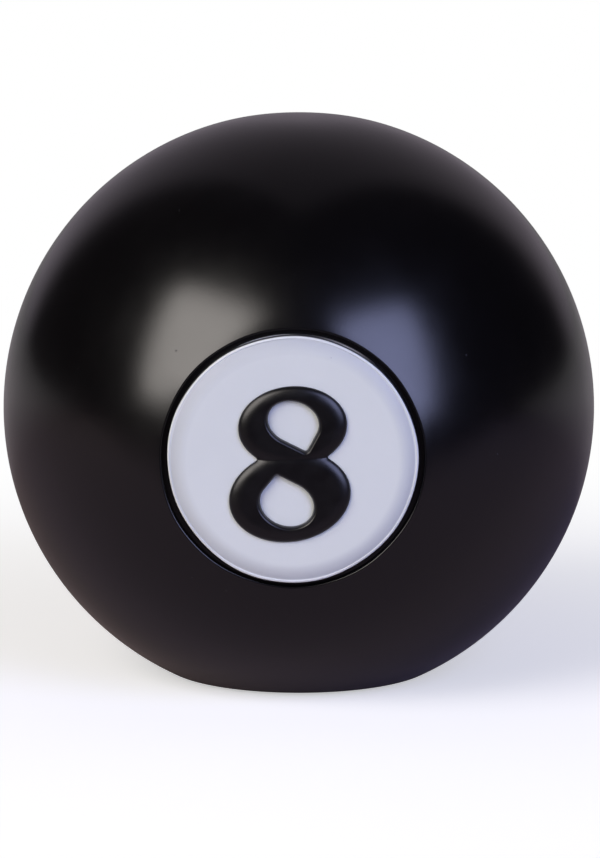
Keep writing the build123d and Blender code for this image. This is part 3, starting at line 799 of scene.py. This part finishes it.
numeral_finish = new_finish("black_enamel", (0.0022, 0.0020, 0.0023), 0.32, IOR=1.52)
enamel_tones = (0.0017, 0.0015, 0.0018), (0.0034, 0.0030, 0.0035)
vary_colour(numeral_finish, grain(numeral_finish, 160, 3), *enamel_tones)
vary_roughness(numeral_finish, grain(numeral_finish, 260, 3), 0.28, 0.36)
pressed(numeral_finish, (grain(numeral_finish, 900, 2), 0.000008), (grain(numeral_finish, 240, 2), 0.00002))
numeral.data.materials.append(numeral_finish)
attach(numeral, "ball")
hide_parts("numeral")

# ---------------------------------------------------------------------------------------------------
# Light cup. A reflector moulded in bright white plastic behind the window. Its flange sits in the shell's
# pocket, held by four screws, and its floor carries the LED board on two bosses.


def dress(finish, *node_names):
    """Give CAD nodes a finish in place of their plain one."""
    for node_name in node_names:
        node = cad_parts[node_name]
        node.data.materials.clear()
        node.data.materials.append(finish)


cup_finish = new_finish("cup_white", (0.86, 0.86, 0.85), 0.34, IOR=1.5)
vary_colour(cup_finish, grain(cup_finish, 90, 3), (0.83, 0.83, 0.81), (0.88, 0.88, 0.875))
vary_roughness(cup_finish, grain(cup_finish, 300, 2), 0.30, 0.40)
pressed(cup_finish, (grain(cup_finish, 1500, 2), 0.00001))
dress(cup_finish, "light_cup")

# ---------------------------------------------------------------------------------------------------
# Screws. Twelve small ones in zinc-plated steel, with cross recesses: four countersunk ones hold the cup
# and four the housing, and two with pan heads hold the LED board and two the battery door.


def plated_finish(name, shade):
    """Plated steel: bright metal clouded by slow grey patches and fine scratches drawn out along X."""
    finish = new_finish(name, (shade, shade, shade), 0.3, Metallic=1.0)
    patches = grain(finish, 700, 3)
    scratches = grain(finish, 4000, 2, (0.15, 1, 1))
    vary_colour(finish, patches, (shade * 0.78, shade * 0.78, shade * 0.80), (shade, shade, shade * 1.02))
    vary_roughness(finish, scratches, 0.22, 0.42)
    pressed(finish, (scratches, 0.000006), (patches, 0.00001))
    return finish


screw_finish = plated_finish("zinc_screws", 0.62)
dress(screw_finish, "cup_screws", "board_screws", "base_screws", "door_screw_front", "door_screw_back")

# ---------------------------------------------------------------------------------------------------
# LED board. A round circuit board with a white solder mask and faint raised tracks under it, held by its
# two screws to the floor of the cup.
board_finish = new_finish("board_white", (0.82, 0.82, 0.79), 0.42)
tracks = grain(board_finish, 500, 1, (1, 1, 0.25))
vary_colour(board_finish, tracks, (0.78, 0.79, 0.75), (0.86, 0.86, 0.83))
vary_roughness(board_finish, grain(board_finish, 900, 2), 0.36, 0.5)
pressed(board_finish, (carried(board_finish, tracks, 0.48, 0.52), 0.00002))
dress(board_finish, "led_board")

# ---------------------------------------------------------------------------------------------------
# LEDs and resistors. Three square surface-mounted LEDs, each a white body with a yellow phosphor dome, and
# a black chip resistor for each. All are soldered flat to the board.
led_front = -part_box("leds")[0].y
led_dome_height = 0.0004
led_dome_blur = 0.00003
led_finish = new_finish("led_phosphor", (0.9, 0.8, 0.35), 0.3)
place = add_node(led_finish, "TexCoord").outputs["Object"]
dome_edge = -(led_front - led_dome_height)
dome_limits = (dome_edge + led_dome_blur, dome_edge - led_dome_blur)
on_dome = carried(led_finish, component(led_finish, place, "Y"), *dome_limits)
phosphor = tinted(led_finish, grain(led_finish, 2500, 2), (0.86, 0.70, 0.16), (0.93, 0.80, 0.30))
vary_colour(led_finish, on_dome, (0.86, 0.86, 0.84), phosphor)
vary_roughness(led_finish, grain(led_finish, 1500, 2), 0.2, 0.45)
pressed(led_finish, (grain(led_finish, 3000, 2), 0.000008))
dress(led_finish, "leds")

chip_finish = new_finish("chip_black", (0.03, 0.03, 0.032), 0.4)
vary_colour(chip_finish, grain(chip_finish, 2500, 2), (0.02, 0.02, 0.022), (0.05, 0.05, 0.052))
vary_roughness(chip_finish, grain(chip_finish, 1800, 2), 0.3, 0.5)
pressed(chip_finish, (grain(chip_finish, 3500, 2), 0.00001))
dress(chip_finish, "resistors")

# ---------------------------------------------------------------------------------------------------
# Base housing and battery door. Both are moulded in black plastic with a fine spark-eroded texture. The
# housing is screwed up into the shell, and the door lies flush in it, held by two captive screws.


def eroded_finish(name, dark, light, rough_low, rough_high):
    """Textured black plastic: pits of two sizes, paler where handling has rubbed the tops."""
    finish = new_finish(name, dark, rough_high)
    pits = grain(finish, 2600, 3)
    rubbed = grain(finish, 110, 4)
    vary_colour(finish, carried(finish, rubbed, 0.35, 0.7), dark, light)
    vary_roughness(finish, rubbed, rough_high, rough_low)
    pressed(finish, (pits, 0.00005), (grain(finish, 900, 2), 0.00003))
    return finish


housing_finish = eroded_finish("housing_black", (0.008, 0.008, 0.009), (0.016, 0.016, 0.017), 0.42, 0.58)
dress(housing_finish, "base_housing")
door_finish = eroded_finish("door_black", (0.010, 0.010, 0.011), (0.020, 0.020, 0.021), 0.38, 0.54)
dress(door_finish, "battery_door")

# ---------------------------------------------------------------------------------------------------
# Feet. Four round pads of soft dark grey rubber, pressed into recesses over the base screws. They are
# matt, with paler scuffs and a little grit where they meet the table.
foot_finish = new_finish("foot_rubber", (0.045, 0.045, 0.045), 0.8)
scuffs = carried(foot_finish, grain(foot_finish, 900, 4), 0.45, 0.7)
grit = specks(foot_finish, 0.0011, 0.00012, 0.3)
scuffed = tinted(foot_finish, scuffs, (0.035, 0.035, 0.035), (0.085, 0.083, 0.08))
vary_colour(foot_finish, grit, scuffed, (0.25, 0.23, 0.2))
link_to(foot_finish, "Roughness", carried(foot_finish, scuffs, 0, 1, 0.7, 0.92))
pressed(foot_finish, (grain(foot_finish, 3500, 3), 0.00005), (grit, 0.00005))
dress(foot_finish, "feet")

# ---------------------------------------------------------------------------------------------------
# Cells. Three AAA cells in plain gloss jackets, dark green with a copper band at the positive end, shrunk
# on over a nickel-plated can. The outer two point to the back and the middle one to the front.
cell_length = 0.0445
cell_band = 0.012
cell_nub = 0.0008
jacket_end = 0.0006
jacket_blur = 0.00004
nickel = (0.62, 0.61, 0.58)
copper = (0.55, 0.24, 0.09)


def cell_finish(name, tip, towards):
    """Jacket, band and bare nickel ends, each in its place along the cell, which lies along Y."""
    finish = new_finish(name, (0.01, 0.05, 0.03), 0.3, Coat_Weight=0.4, Coat_Roughness=0.08)
    along = component(finish, add_node(finish, "TexCoord").outputs["Object"], "Y")

    def nearer_tip(distance):
        """1 nearer to the positive tip than this distance, and 0 further from it."""
        edge = tip - towards * distance
        return carried(finish, along, edge - towards * jacket_blur, edge + towards * jacket_blur)

    ink = grain(finish, 800, 3)
    jacket = tinted(finish, ink, (0.008, 0.045, 0.028), (0.014, 0.065, 0.042))
    banded = tinted(finish, nearer_tip(cell_band), jacket, copper)
    ended = tinted(finish, nearer_tip(jacket_end + cell_nub), banded, nickel)
    vary_colour(finish, nearer_tip(cell_length - jacket_end), nickel, ended)
    link_to(finish, "Metallic", carried(finish, nearer_tip(cell_band), 0, 1, 0.0, 0.9))
    vary_roughness(finish, ink, 0.22, 0.36)
    pressed(finish, (grain(finish, 500, 2), 0.00002))
    return finish


back_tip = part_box("battery_left")[1].y
front_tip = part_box("battery_middle")[0].y
dress(cell_finish("cell_jacket_to_back", back_tip, 1), "battery_left", "battery_right")
dress(cell_finish("cell_jacket_to_front", front_tip, -1), "battery_middle")

# ---------------------------------------------------------------------------------------------------
# Contacts. Conical springs, bridge plates and solder tabs in nickel-plated spring steel, held against the
# bay's end walls, and the switch's steel can and pins with the same kind of bright plating.
contact_finish = plated_finish("contact_nickel", 0.72)
dress(contact_finish, "battery_springs", "bridge_plates", "terminal_plates", "switch_pins")
dress(plated_finish("can_steel", 0.66), "switch_can")

# ---------------------------------------------------------------------------------------------------
# Slide switch. A brown laminated board closes the can and holds the pins. The slider is moulded black
# plastic with ridges for the finger, rubbed paler by use.
laminate_finish = new_finish("switch_laminate", (0.22, 0.09, 0.03), 0.5)
fibres = grain(laminate_finish, 1800, 3, (0.2, 1, 1))
vary_colour(laminate_finish, fibres, (0.17, 0.065, 0.022), (0.28, 0.12, 0.045))
vary_roughness(laminate_finish, fibres, 0.42, 0.6)
pressed(laminate_finish, (fibres, 0.00002))
dress(laminate_finish, "switch_base")
slider_finish = eroded_finish("slider_black", (0.014, 0.014, 0.015), (0.035, 0.035, 0.036), 0.32, 0.5)
dress(slider_finish, "switch_slider")

# ---------------------------------------------------------------------------------------------------
# Leads. Two red and one black, stranded copper in PVC insulation with a slight sheen, soldered to the
# contacts, the switch and the back of the LED board.


def lead_finish(name, dark, light):
    """PVC insulation: soft sheen, small dents, and a colour that is a little uneven along the lead."""
    finish = new_finish(name, dark, 0.42, Sheen_Weight=0.1)
    uneven = grain(finish, 350, 3)
    vary_colour(finish, uneven, dark, light)
    vary_roughness(finish, uneven, 0.36, 0.5)
    pressed(finish, (grain(finish, 1200, 2), 0.00003))
    return finish


dress(lead_finish("lead_red", (0.38, 0.018, 0.016), (0.50, 0.03, 0.026)), "lead_positive", "lead_switched")
dress(lead_finish("lead_black", (0.012, 0.012, 0.013), (0.024, 0.024, 0.025)), "lead_negative")
